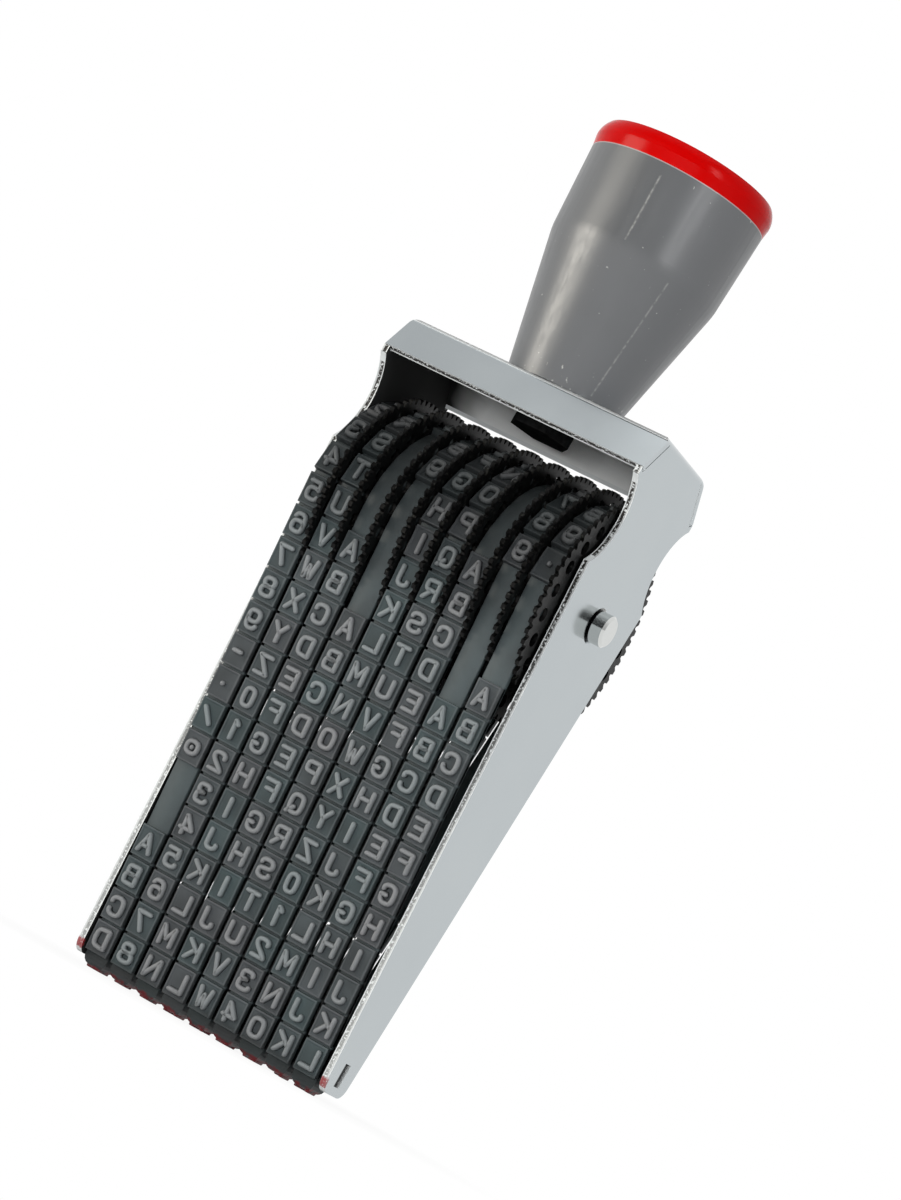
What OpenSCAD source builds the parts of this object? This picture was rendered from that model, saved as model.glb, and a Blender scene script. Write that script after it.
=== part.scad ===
// Hand stamp with nine endless type bands on setting wheels, in a bent sheet frame with a grip.
// Millimetres. X runs along the axle, Y from front to back, Z up. Z = 0 is the print plane.

/* [Bands] */
// Width of one type band
band_w = 3.6; // [3:0.05:4.5]
// Thickness of the backing strip of a band
backing_t = 1; // [0.8:0.1:1.4]
// Height of the pads above the backing strip
pad_h = 0.8; // [0.5:0.1:1.1]
// Height of the raised characters above the pads
relief_h = 0.6; // [0.4:0.1:1]
// Number of character places on a straight run, above the print row
front_cells = 15; // [12:1:18]
// Width of the groove between two pads
groove_w = 0.35; // [0.2:0.05:0.6]
// Width of the raised character field across the band
relief_w = 2.4; // [1.6:0.1:2.8]
// Length of the raised character field along the band
relief_len = 3.1; // [2:0.1:3.5]

/* [Wheels] */
// Radius of the drum that carries a band
drum_r = 13.2; // [11:0.1:15]
// Gap between a drum and the band that runs over it
drum_gap = 0.2; // [0.15:0.05:0.4]
// Wall of the drum
rim_t = 1.6; // [1:0.1:3]
// Thickness of the disc between hub and drum
web_t = 1.2; // [0.8:0.1:2]
// Radius of the hub
hub_r = 4.6; // [3.6:0.1:7]
// Thickness of the toothed flange
flange_t = 0.6; // [0.4:0.05:1]
// How far the flange stands out over the drum
flange_rise = 4.1; // [3.5:0.1:6]
// Depth of the teeth cut into the flange
tooth_h = 0.7; // [0.3:0.05:1]
// Number of teeth on a flange
teeth = 70; // [48:1:84]
// Number of round holes in a flange
ring_holes = 26; // [12:1:30]
// Diameter of the holes in a flange
ring_hole_d = 2; // [1:0.1:2.4]
// Side gap between a moving wheel and its neighbours
side_gap = 0.1; // [0.05:0.01:0.2]

/* [Axle] */
// Diameter of the axle
axle_d = 4.6; // [3:0.1:6]
// Height of the axle above the print plane
axle_z = 72.75; // [60:0.5:90]
// Length of the axle outside each plate
axle_proud = 2.3; // [1:0.1:5]
// Chamfer on the ends of the axle
axle_chamfer = 0.35; // [0.1:0.05:0.8]
// Running clearance of a wheel on the axle, on the radius
axle_clear = 0.05; // [0.02:0.01:0.09]
// Clearance of the axle in the plates, on the radius
plate_hole_clear = 0.08; // [0.02:0.01:0.1]
// Chamfer round the axle holes on the outside of the plates
hole_chamfer = 0.3; // [0.1:0.05:0.6]

/* [Platen] */
// Half the flat length under the platen, front to back
turn_y = 0.95; // [0.6:0.05:2]
// Inner radius at which a band turns round the platen
turn_r = 0.6; // [0.4:0.05:1.5]
// Gap between the platen and the bands
platen_gap = 0.15; // [0.1:0.05:0.3]
// Height of the platen bar
platen_h = 6.4; // [5:0.1:10]
// Thickness of the tabs at the ends of the platen
tab_t = 1.6; // [1:0.1:2.4]
// Height of the tabs at the ends of the platen
tab_h = 3.2; // [2:0.1:4.5]
// Distance of the tab ends inside the outer faces of the plates
tab_inset = 0.4; // [0.1:0.1:1]
// Clearance of a tab in its slot
slot_clear = 0.1; // [0.05:0.05:0.3]

/* [Frame] */
// Thickness of the sheet
sheet_t = 0.9; // [0.7:0.05:1.4]
// Free play between the wheels and each plate
side_play = 0.3; // [0.05:0.05:0.4]
// Free height between the wheels and the screw head
head_room = 2.6; // [1:0.1:8]
// Half the depth of the flat top
top_half = 8.75; // [8.6:0.05:12]
// How far the sloping strips drop below the flat top
strip_drop = 5.7; // [4:0.1:9]
// How far the sloping strips reach out beyond the flat top
strip_reach = 3.95; // [2:0.05:6]
// Outer radius of the bend between top and strips
bend_r = 1.6; // [1.5:0.1:2.4]
// Outer radius of the bend between top and plates
corner_r = 1.2; // [0.5:0.1:2]
// Width of the open seam between strips and plates
seam = 0.15; // [0.1:0.05:0.3]
// Length of the upright edge of a plate below the strip
lug_h = 1.1; // [0.5:0.1:2]
// Half the depth of a plate at the shoulder
shoulder_half = 12.7; // [11:0.1:15]
// Height of the shoulder above the axle
shoulder_rise = 5.65; // [3:0.05:9]
// Half the depth of a plate at the bottom of the scoop
scoop_half = 9.3; // [8:0.05:10.5]
// Half the depth of a plate at its tip
tip_half = 3.9; // [3.5:0.1:7]
// Radius of the rounded corners of the tip
tip_r = 2; // [1:0.1:3]
// Height of the tip above the print plane
tip_z = 1.2; // [0.5:0.05:1.4]

/* [Grip] */
// Height of the grip below the cap
grip_h = 32.8; // [25:0.1:45]
// Radius of the grip at its foot
grip_foot_r = 8.4; // [7:0.1:12]
// Radius of the grip at the break of the flare
grip_break_r = 12.65; // [10:0.05:16]
// Height of the break of the flare above the foot
grip_break_h = 20.3; // [14:0.1:24]
// Radius of the grip under the cap
grip_top_r = 13.3; // [11:0.1:17]
// Rounding at the break of the flare
grip_round = 10; // [5:1:50]
// Radius of the hollow in the grip
hollow_r = 8.5; // [6:0.1:9]
// Depth of the hollow in the grip
hollow_h = 14; // [8:0.5:16]
// Height of the cap
cap_h = 4.9; // [4.5:0.1:9]
// How far the cap bulges over the grip
cap_bulge = 0.25; // [0:0.05:0.6]
// Rounding of the rim of the cap
cap_round = 3.2; // [2:0.1:4]
// Radius of the crown of the cap
crown_r = 70; // [50:1:120]
// Height that is flattened off the middle of the crown
crown_flat = 0.02; // [0.01:0.01:0.05]
// Depth of the spigot of the cap
spigot_h = 5; // [2:0.5:7]
// Clearance of the spigot in the hollow, on the radius
spigot_clear = 0.1; // [0.05:0.05:0.3]

/* [Screw] */
// Diameter of the screw
screw_d = 5; // [4:0.1:6]
// Width across the flats of the screw head
screw_flats = 8.2; // [7:0.1:10]
// Height of the screw head
screw_head_h = 5.1; // [3:0.1:6]
// Length of the screw inside the grip
screw_grip = 14; // [8:0.5:17]
// Free depth of the hole beyond the screw
screw_spare = 1.5; // [0.5:0.1:2.5]
// Clearance of the screw in the flat top, on the radius
screw_clear = 0.2; // [0.1:0.05:0.5]
// Clearance of the screw in the grip, on the radius
thread_clear = 0.05; // [0.02:0.01:0.1]

/* [Hidden] */
$fn = 96;
// Overlap that makes a cut run clear through a face
cut = 1;
// Thin overlap that joins two blocks
join = 0.1;
// Depth to which a straight run is let into the round that it meets
blend = 0.002;

// Widths across the stamp
units = 9;
unit_pitch = band_w + flange_t + 2 * side_gap;
wheel_w = unit_pitch - side_gap;
inner_w = units * unit_pitch + 2 * side_play;
frame_w = inner_w + 2 * sheet_t;

// Path of a band: round the drum, down two straight runs and round the platen
loop_r = drum_r + drum_gap;
turn_z = relief_h + pad_h + backing_t + turn_r;
span = norm([turn_y, axle_z - turn_z]);
lean = asin((loop_r - turn_r) / span) - asin(turn_y / span);
run_len = sqrt(pow(span, 2) - pow(loop_r - turn_r, 2));
back_r = loop_r + backing_t;
back_turn_r = turn_r + backing_t;
corner_len = back_turn_r * (90 - lean) * PI / 180;
crown_len = back_r * (90 + lean) * PI / 180;
half_len = turn_y + corner_len + run_len + crown_len;

// Character places: equal steps from the print row to the front of the drum, equal steps over the drum
front_len = turn_y + corner_len + run_len + back_r * lean * PI / 180;
cell_pitch = front_len / (front_cells + 0.5);
crown_cells = round(2 * (half_len - front_len) / cell_pitch);
crown_pitch = 2 * (half_len - front_len) / crown_cells;
cells = 2 * front_cells + 1 + crown_cells;
pad_len = min(cell_pitch, crown_pitch) - groove_w;
// Depth to which a pad is rooted in the backing
pad_root = 0.7 * backing_t;
band_out_r = back_r + pad_h + relief_h;
wheel_out_r = drum_r + flange_rise;

// Place of the first character on each band, counted in places up the front from the print row
first_cell = [4, 35, 14, 12, 23, 31, 15, 11, 12];
// Number of places left bare above the first character of each band
bare_cells = [2, 4, 4, 4, 4, 4, 4, 4, 3];

// Heights and depths of the frame
top_z = axle_z + max(band_out_r, wheel_out_r) + head_room + screw_head_h + sheet_t;
strip_len = norm([strip_reach, strip_drop]);
strip_out = [strip_drop, strip_reach] / strip_len;
strip_down = [strip_reach, -strip_drop] / strip_len;
eave = [top_half + strip_reach, top_z - strip_drop];
lug = eave + seam * strip_down;
lug_z = lug[1] - lug_h;
shoulder_z = axle_z + shoulder_rise;
scoop_chord = (lug_z - shoulder_z) / 2;
scoop_deep = (lug[0] + shoulder_half) / 2 - scoop_half;
scoop_r = (pow(scoop_chord, 2) + pow(scoop_deep, 2)) / (2 * scoop_deep);
scoop_at = [scoop_half + scoop_r, (lug_z + shoulder_z) / 2];
tip_at = [tip_half - tip_r, tip_z + tip_r];
hole_r = axle_d / 2 + plate_hole_clear;

// Platen
platen_half = turn_y + turn_r - platen_gap;
platen_z = turn_z - turn_r + platen_gap;

// Grip
grip_top_z = top_z + grip_h;

// Draws a flat Y-Z outline as a plate of the given thickness, starting at x
module across(x, thickness) {
    translate([x, 0, 0]) rotate([90, 0, 90]) linear_extrude(thickness) children();
}

// Mirrors a flat outline from the back to the front as well
module both_sides() {
    children();
    mirror([1, 0]) children();
}

// Sliver that rounds the corner at p, between edges towards a and b, when it is cut away
module corner_sliver(p, a, b, r) {
    to_a = (a - p) / norm(a - p);
    to_b = (b - p) / norm(b - p);
    half = acos(to_a * to_b) / 2;
    reach = r / tan(half);
    middle = (to_a + to_b) / norm(to_a + to_b);
    centre = p + middle * r / sin(half);
    difference() {
        polygon([p - middle * join, p + to_a * reach, centre, p + to_b * reach]);
        translate(centre) circle(r);
    }
}

// Closed outline of a band at a distance out from its inner face
module loop_outline(out) {
    big = loop_r + out;
    small = turn_r + out;
    run = [cos(lean), -sin(lean)];
    low = turn_z - small + blend;
    translate([0, axle_z]) circle(big);
    both_sides() translate([turn_y, turn_z]) circle(small);
    both_sides() polygon([
        [-join, axle_z], [0, axle_z], [0, axle_z] + (big - blend) * run,
        [turn_y, turn_z] + (small - blend) * run, [turn_y, low], [-join, low]
    ]);
}

// Point on the backing and direction outwards, s along the front from the print row: [y, z, angle]
function front_place(s) =
    s < turn_y ? [-s, turn_z - back_turn_r, 270] :
    s < turn_y + corner_len ? turn_place(270 - (s - turn_y) / back_turn_r * 180 / PI) :
    s < turn_y + corner_len + run_len ? run_place(s - turn_y - corner_len) :
    drum_place(180 + lean - (s - turn_y - corner_len - run_len) / back_r * 180 / PI);
function turn_place(a) = [-turn_y + back_turn_r * cos(a), turn_z + back_turn_r * sin(a), a];
function run_place(s) = [
    -turn_y - back_turn_r * cos(lean) - s * sin(lean),
    turn_z - back_turn_r * sin(lean) + s * cos(lean),
    180 + lean
];
function drum_place(a) = [back_r * cos(a), axle_z + back_r * sin(a), a];
function flipped(p) = [-p[0], p[1], 180 - p[2]];
// Distance of cell number i along the band, counted up the front and down the back
function cell_along(i) =
    i <= front_cells ? i * cell_pitch :
    i <= front_cells + crown_cells ? front_len + (i - front_cells - 0.5) * crown_pitch :
    2 * half_len - (cells - i) * cell_pitch;
function cell_place(i) =
    let (s = cell_along(i)) s <= half_len ? front_place(s) : flipped(front_place(2 * half_len - s));
// True where a cell lies in the bare stretch that follows the first character
function is_bare(i, k) =
    let (past = (i - first_cell[k - 1] + cells) % cells) past >= 1 && past <= bare_cells[k - 1];

// Blocks along the band on every cell that carries a character
module cell_blocks(k, len, low, high) {
    for (i = [0:cells - 1]) if (!is_bare(i, k)) {
        p = cell_place(i);
        translate([p[0], p[1]]) rotate(p[2]) translate([low, -len / 2]) square([high - low, len]);
    }
}

module band(k) {
    x = -units * unit_pitch / 2 + (k - 1) * unit_pitch + side_gap / 2;
    color("dimgray") {
        across(x, band_w) difference() {
            union() {
                loop_outline(backing_t);
                cell_blocks(k, pad_len, -pad_root, pad_h);
            }
            loop_outline(0);
        }
        across(x + (band_w - relief_w) / 2, relief_w)
            cell_blocks(k, relief_len, pad_h - join, pad_h + relief_h);
    }
}

// Outline of the toothed flange: flat-topped teeth
module tooth_ring() {
    tip = wheel_out_r;
    root = tip - tooth_h;
    step = 360 / teeth;
    polygon([for (i = [0:teeth - 1], c = [[0, root], [0.2, tip], [0.6, tip], [0.8, root]])
        c[1] * [cos((i + c[0]) * step), sin((i + c[0]) * step)]]);
}

module wheel(k) {
    x = -units * unit_pitch / 2 + (k - 1) * unit_pitch + side_gap / 2;
    color([0.09, 0.09, 0.1])
    translate([x, 0, axle_z]) rotate([90, 0, 90]) difference() {
        union() {
            cylinder(r = drum_r, h = wheel_w);
            translate([0, 0, wheel_w - flange_t]) linear_extrude(flange_t) tooth_ring();
        }
        translate([0, 0, -cut]) cylinder(d = axle_d + 2 * axle_clear, h = wheel_w + 2 * cut);
        translate([0, 0, web_t]) linear_extrude(wheel_w - web_t + cut) difference() {
            circle(drum_r - rim_t);
            circle(hub_r);
        }
        for (i = [0:ring_holes - 1]) rotate(i * 360 / ring_holes)
            translate([drum_r + (flange_rise - tooth_h) / 2, 0, wheel_w - flange_t - cut])
                cylinder(d = ring_hole_d, h = flange_t + 2 * cut, $fn = 24);
    }
}

module axle() {
    half = frame_w / 2 + axle_proud;
    r = axle_d / 2;
    color("silver") rotate([0, 90, 0]) translate([-axle_z, 0, 0]) rotate_extrude() polygon([
        [0, -half], [r - axle_chamfer, -half], [r, -half + axle_chamfer],
        [r, half - axle_chamfer], [r - axle_chamfer, half], [0, half]
    ]);
}

// Outline of the platen bar, rounded where the bands turn
module platen_outline() {
    r = turn_r - platen_gap;
    both_sides() translate([turn_y, turn_z]) circle(r);
    both_sides() polygon([
        [-join, platen_z], [turn_y, platen_z], [platen_half, turn_z],
        [platen_half, platen_z + platen_h], [-join, platen_z + platen_h]
    ]);
}

module platen() {
    reach = frame_w / 2 - tab_inset;
    color("gray") {
        across(-inner_w / 2, inner_w) platen_outline();
        across(-reach, 2 * reach) translate([-tab_t / 2, platen_z]) square([tab_t, tab_h]);
    }
}

// Section through the flat top and one sloping strip
module roof_half() {
    bend = [top_half, top_z];
    bend_in = [top_half - sheet_t * (1 - strip_out[1]) / strip_out[0], top_z - sheet_t];
    difference() {
        polygon([
            [-join, top_z], bend, eave,
            eave - sheet_t * strip_out, bend_in, [-join, top_z - sheet_t]
        ]);
        corner_sliver(bend, [0, top_z], eave, bend_r);
    }
}

// Outline of a side plate: head, lug, scoop, shoulder and taper to the tip
module plate_outline() {
    away = tip_at - [shoulder_half, shoulder_z];
    side = asin(tip_r / norm(away));
    heading = atan2(away[1], away[0]) + side;
    touch = tip_at + tip_r * [-sin(heading), cos(heading)];
    inside = sheet_t + seam;
    difference() {
        both_sides() {
            polygon([
                [-join, top_z], [top_half, top_z] - inside * strip_out,
                lug - inside * strip_out, lug, [lug[0], lug_z],
                [shoulder_half, shoulder_z], touch, tip_at, [tip_at[0], tip_z], [-join, tip_z]
            ]);
            translate(tip_at) circle(tip_r);
        }
        both_sides() translate(scoop_at) circle(scoop_r);
        translate([0, axle_z]) circle(hole_r);
        translate([-tab_t / 2 - slot_clear, platen_z - slot_clear])
            square([tab_t + 2 * slot_clear, tab_h + 2 * slot_clear]);
    }
}

// Front outline of what is rounded off where the plates are bent down from the top
module bend_slivers() {
    corner = [frame_w / 2, top_z];
    both_sides() corner_sliver(corner, [0, top_z], [frame_w / 2, 0], corner_r);
}

module frame() {
    depth = eave[0] + cut;
    color("gainsboro") difference() {
        union() {
            across(-frame_w / 2, frame_w) both_sides() roof_half();
            across(-frame_w / 2, sheet_t) plate_outline();
            across(frame_w / 2 - sheet_t, sheet_t) plate_outline();
        }
        translate([0, depth, 0]) rotate([90, 0, 0]) linear_extrude(2 * depth) bend_slivers();
        for (side = [-1, 1])
            translate([side * (frame_w / 2 - hole_chamfer), 0, axle_z]) rotate([0, side * 90, 0])
            cylinder(r1 = hole_r, r2 = hole_r + hole_chamfer + cut, h = hole_chamfer + cut);
        translate([0, 0, top_z - sheet_t - cut])
            cylinder(d = screw_d + 2 * screw_clear, h = sheet_t + 2 * cut);
    }
}

// Half section of the grip, as radius and height above its foot
module grip_section() {
    foot = [grip_foot_r, 0];
    break_at = [grip_break_r, grip_break_h];
    rim = [grip_top_r, grip_h];
    difference() {
        polygon([[0, 0], foot, break_at, rim, [0, grip_h]]);
        corner_sliver(break_at, foot, rim, grip_round);
        translate([-cut, grip_h - hollow_h]) square([hollow_r + cut, hollow_h + cut]);
        translate([-cut, -cut]) square([screw_d / 2 + thread_clear + cut, screw_grip + screw_spare + cut]);
    }
}

module handle() {
    color("gray") translate([0, 0, top_z]) rotate_extrude() grip_section();
}

// Half section of the cap, as radius and height above its seat on the grip
module cap_section() {
    wide = grip_top_r + cap_bulge;
    belly = [wide, cap_h / 3];
    corner = [wide, cap_h];
    intersection() {
        difference() {
            polygon([[0, 0], [grip_top_r, 0], belly, corner, [0, cap_h]]);
            corner_sliver(corner, belly, [0, cap_h], cap_round);
        }
        translate([0, cap_h + crown_flat - crown_r]) circle(crown_r, $fn = 360);
    }
    translate([0, -spigot_h]) square([hollow_r - spigot_clear, spigot_h + join]);
}

module handle_cap() {
    color("red") translate([0, 0, grip_top_z]) rotate_extrude() cap_section();
}

module handle_screw() {
    color([0.12, 0.12, 0.12]) translate([0, 0, top_z - sheet_t]) {
        translate([0, 0, -screw_head_h]) cylinder(d = screw_flats / cos(30), h = screw_head_h, $fn = 6);
        translate([0, 0, -join]) cylinder(d = screw_d, h = join + sheet_t + screw_grip);
    }
}

frame();
handle();
handle_cap();
handle_screw();
axle();
platen();
for (k = [1:units]) wheel(k);
for (k = [1:units]) band(k);
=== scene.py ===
# %% [markdown]
# # A nine-band hand stamp, dressed for its portrait
# The stamp is a bent chromed frame with a flared grip on top. Nine rubber bands, each with raised
# mirrored characters, run over toothed wheels and round a bar at the lower end, where one row of characters
# prints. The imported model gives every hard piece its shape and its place. This script makes the rubber
# bands in full detail, gives each surface its real material, and sets up the light and the camera.

# %% Load the frame
import math

import bpy
import numpy as np
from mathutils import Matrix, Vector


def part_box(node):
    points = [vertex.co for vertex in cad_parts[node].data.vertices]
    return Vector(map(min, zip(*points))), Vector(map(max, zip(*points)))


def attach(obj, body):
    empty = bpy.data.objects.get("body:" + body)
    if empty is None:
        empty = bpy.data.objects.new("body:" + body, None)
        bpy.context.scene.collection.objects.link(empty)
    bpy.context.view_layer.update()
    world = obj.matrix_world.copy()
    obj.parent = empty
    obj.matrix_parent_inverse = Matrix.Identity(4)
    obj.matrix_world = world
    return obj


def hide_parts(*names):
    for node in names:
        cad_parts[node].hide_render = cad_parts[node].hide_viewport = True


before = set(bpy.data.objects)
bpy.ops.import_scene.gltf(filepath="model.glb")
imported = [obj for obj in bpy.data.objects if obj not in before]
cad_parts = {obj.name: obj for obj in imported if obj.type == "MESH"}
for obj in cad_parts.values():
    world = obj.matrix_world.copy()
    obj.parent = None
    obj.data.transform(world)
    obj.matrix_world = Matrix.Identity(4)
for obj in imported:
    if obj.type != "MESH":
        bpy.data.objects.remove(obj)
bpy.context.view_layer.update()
MM = 0.001

# %% [markdown]
# ## The path of a band
# An endless band is a belt: round the drum of its wheel, down a straight run, round the bar at the print
# end and up again. It could be a curve object with a profile. Here one function of the distance along the
# belt gives every point of it, so that the backing, the pads and the characters all sit on the same path.
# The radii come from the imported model, the small heights are those of the moulding.

# %% Sizes of a band, in millimetres
def box_mm(node):
    """Lowest and highest corner of a node in millimetres."""
    low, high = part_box(node)
    return np.array(low) / MM, np.array(high) / MM


BACKING, PAD, RELIEF = 1.0, 0.8, 0.6
FRONT_CELLS, GROOVE = 15, 0.35
TURN_Y, TURN_R = 0.95, 0.6
axle_low, axle_high = box_mm("axle")
AXLE_Z = (axle_low[2] + axle_high[2]) / 2
band_low, band_high = box_mm("band_1")
BAND_W = band_high[0] - band_low[0]
BACK_R = band_high[2] - AXLE_Z - PAD - RELIEF
BACK_TURN_R = TURN_R + BACKING
TURN_Z = RELIEF + PAD + BACK_TURN_R
span = math.hypot(TURN_Y, AXLE_Z - TURN_Z)
LEAN = math.asin((BACK_R - BACK_TURN_R) / span) - math.asin(TURN_Y / span)
CORNER = BACK_TURN_R * (math.pi / 2 - LEAN)
RUN = math.sqrt(span**2 - (BACK_R - BACK_TURN_R) ** 2)
HALF = TURN_Y + CORNER + RUN + BACK_R * (math.pi / 2 + LEAN)
FRONT = TURN_Y + CORNER + RUN + BACK_R * LEAN
PITCH = FRONT / (FRONT_CELLS + 0.5)
CROWN_CELLS = round(2 * (HALF - FRONT) / PITCH)
CROWN_PITCH = 2 * (HALF - FRONT) / CROWN_CELLS
CELLS = 2 * FRONT_CELLS + 1 + CROWN_CELLS
print(f"band {BAND_W:.2f} mm wide, {2 * HALF:.1f} mm round, {CELLS} places, one every {PITCH:.2f} mm")

# %% Point on a band
def belt(s):
    """Point (y, z) on the outer face of the backing and the unit direction outwards, at distance s.

    s starts under the middle of the print row and runs up the front. The front half is a flat piece, the
    arc round the bar, the straight run and the arc round the drum. The rear half is its mirror image in y.
    """
    s = np.mod(np.asarray(s, float), 2 * HALF)
    front = s <= HALF
    u = np.where(front, s, 2 * HALF - s)
    on_run = u - TURN_Y - CORNER
    angle = np.select(
        [u < TURN_Y, on_run < 0, on_run < RUN],
        [1.5 * np.pi, 1.5 * np.pi - (u - TURN_Y) / BACK_TURN_R, np.pi + LEAN],
        np.pi + LEAN - (on_run - RUN) / BACK_R,
    )
    ny, nz = np.cos(angle), np.sin(angle)
    climb = np.clip(on_run, 0, RUN)
    flat = np.clip(u, 0, TURN_Y)
    round_bar = on_run < RUN
    y = np.where(round_bar, -flat + BACK_TURN_R * ny - climb * math.sin(LEAN), BACK_R * ny)
    z = np.where(round_bar, TURN_Z + BACK_TURN_R * nz + climb * math.cos(LEAN), AXLE_Z + BACK_R * nz)
    side = np.where(front, 1, -1)
    return side * y, z, side * ny, nz


def cell_distance(cell):
    """Distance of a character place along the belt: equal steps up a run, and equal steps over the drum."""
    over = FRONT + (cell - FRONT_CELLS - 0.5) * CROWN_PITCH
    down = 2 * HALF - (CELLS - cell) * PITCH
    return np.select([cell <= FRONT_CELLS, cell <= FRONT_CELLS + CROWN_CELLS], [cell * PITCH, over], down)


top = belt(HALF)
print(f"top of the backing at z = {float(top[1]):.2f} mm")

# %% [markdown]
# ## Meshes from arrays
# Every new piece is a set of grids of points. A grid has rows along a path and columns round a profile, and
# its faces are four-sided. One function numbers the faces of any number of equal grids, and one puts the
# grids of a piece together into a single mesh at the origin.

# %% Grids and pieces
def grid_faces(rows, columns, close_rows=False, count=1):
    """Quads of count grids of rows x columns points, closed round the columns and, if asked, the rows."""
    r = np.arange(rows if close_rows else rows - 1)[:, None]
    c = np.arange(columns)[None, :]
    ahead, beside = (r + 1) % rows, (c + 1) % columns
    corners = [r * columns + c, r * columns + beside, ahead * columns + beside, ahead * columns + c]
    quads = np.stack(corners, -1)
    start = np.arange(count)[:, None, None] * rows * columns
    return (quads.reshape(1, -1, 4) + start).reshape(-1, 4)


def end_caps(rows, columns, count=1):
    """Quads that close both ends of count grids of rows x columns points, for an even number of columns."""
    i = np.arange(columns // 2 - 1)
    strip = np.stack([i, i + 1, columns - 2 - i, columns - 1 - i], 1)
    caps = np.concatenate([strip[:, ::-1], strip + (rows - 1) * columns])
    return (caps[None] + np.arange(count)[:, None, None] * rows * columns).reshape(-1, 4)


def make_piece(name, grids, material):
    """One mesh object from grids of (points in mm, quads, smooth, batch value, rubbed-and-lit value)."""
    sizes = [len(points) for points, *_ in grids]
    offsets = np.cumsum([0] + sizes[:-1])
    points = np.concatenate([g[0] for g in grids]) * MM
    quads = np.concatenate([g[1] + offset for g, offset in zip(grids, offsets)])
    mesh = bpy.data.meshes.new(name)
    mesh.from_pydata(points.tolist(), [], quads.tolist())
    mesh.materials.append(material)
    mesh.polygons.foreach_set("use_smooth", np.repeat([g[2] for g in grids], [len(g[1]) for g in grids]))
    for column, attribute in ((3, "batch"), (4, "rubbed_and_lit")):
        values = np.concatenate([np.broadcast_to(g[column], n) for g, n in zip(grids, sizes)])
        mesh.attributes.new(attribute, "FLOAT", "POINT").data.foreach_set("value", values)
    mesh.update()
    piece = bpy.data.objects.new(name, mesh)
    bpy.context.scene.collection.objects.link(piece)
    return piece


print("grid of 3 x 4 points has", len(grid_faces(3, 4)), "faces")

# %% [markdown]
# ## Colours and shader nodes
# Colours are written as on a swatch, in sRGB hex, and turned into the linear values that shaders use. One
# helper sets the sockets of a shader node and one adds a node, so that a material reads from top to bottom
# like a recipe.

# %% Helpers for materials
def colour(code):
    """Linear RGBA of an sRGB hex code: the sRGB curve undone for each channel."""
    c = np.array([int(code[i:i + 2], 16) for i in (1, 3, 5)]) / 255
    linear = np.where(c <= 0.04045, c / 12.92, ((c + 0.055) / 1.055) ** 2.4)
    return (*linear.tolist(), 1.0)


def feed(node, sockets):
    """Sets sockets of a node: each gets a value, an output, or a node whose first used output feeds it."""
    for socket, value in sockets.items():
        if isinstance(value, bpy.types.Node):
            value = next(output for output in value.outputs if output.enabled)
        if isinstance(value, bpy.types.NodeSocket):
            node.id_data.links.new(value, node.inputs[socket])
        else:
            node.inputs[socket].default_value = value
    return node


def add(tree, kind, sockets=None, **settings):
    """A new node with its settings and sockets. The kind is Blender's name for it, without ShaderNode."""
    made = tree.nodes.new("ShaderNode" + kind)
    for setting, value in settings.items():
        setattr(made, setting, value)
    return feed(made, sockets or {})


def start_material(name):
    """An empty material with its surface shader: (material, tree, shader, object coordinates)."""
    material = bpy.data.materials.new(name)
    material.use_nodes = True
    tree = material.node_tree
    tree.nodes.clear()
    shader = add(tree, "BsdfPrincipled")
    add(tree, "OutputMaterial", {"Surface": shader})
    return material, tree, shader, add(tree, "TexCoord").outputs["Object"]


def per_mm(size_mm):
    """Texture scale at which one feature of a pattern is size_mm across."""
    return 1 / (size_mm * MM)


print("mid grey is", round(colour("#808080")[0], 3), "in linear light")

# %% [markdown]
# ## Band rubber
# The bands are moulded natural rubber, filled with carbon black: slate grey, slightly greasy, with a fine
# grain from the mould. Pads differ a little in tone, some greener and some warmer, so each one carries a
# value that shifts its colour. Every point also carries how pale it is made: the characters are paler,
# partly rubbed by use and partly by a painted highlight on their tops, the lips of the pads carry a painted
# highlight, and the outer face of the backing is lifted by painted light against the shade between the pads.
# Over the wheels, under the head, painted shade darkens the bands towards the top, and dark and red ink from
# earlier prints is left round the print end. Values on the points were chosen over a painted map because
# they follow each pad and each stroke.

# %% Band rubber
# The grain of a real mould is finer: it is drawn as coarse as it needs to show.
SLATE, WARM_SLATE, STAIN = "#465254", "#505356", "#2E3132"
# Paler tones, for rubbed rubber and for painted highlights and painted light.
RUBBED_AND_LIT_SLATE, RUBBED_AND_LIT_WARM = "#838A8C", "#858688"
# The darkest tone serves both ink round the print end and painted shade at the top, under the head.
GRIME_AND_SHADE, OLD_INK = "#141515", "#6E121A"
STAIN_MM, BLOT_MM, GRAIN_MM = 5, 1.1, 0.35
INK_FULL, INK_TOP, GRIME_TOP = 0.2, 1.6, 3.0
# Painted shade: between these heights, in mm, the bands are darkened towards the top, under the head.
TOP_SHADE_FROM, TOP_SHADE_TO = 63, 80
STAINED, PRINTED, TOP_SHADE, INKED = 0.55, 0.6, 0.72, 0.8
RUBBER_IOR, RUBBER_GLOSS = 1.52, 0.12


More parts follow.
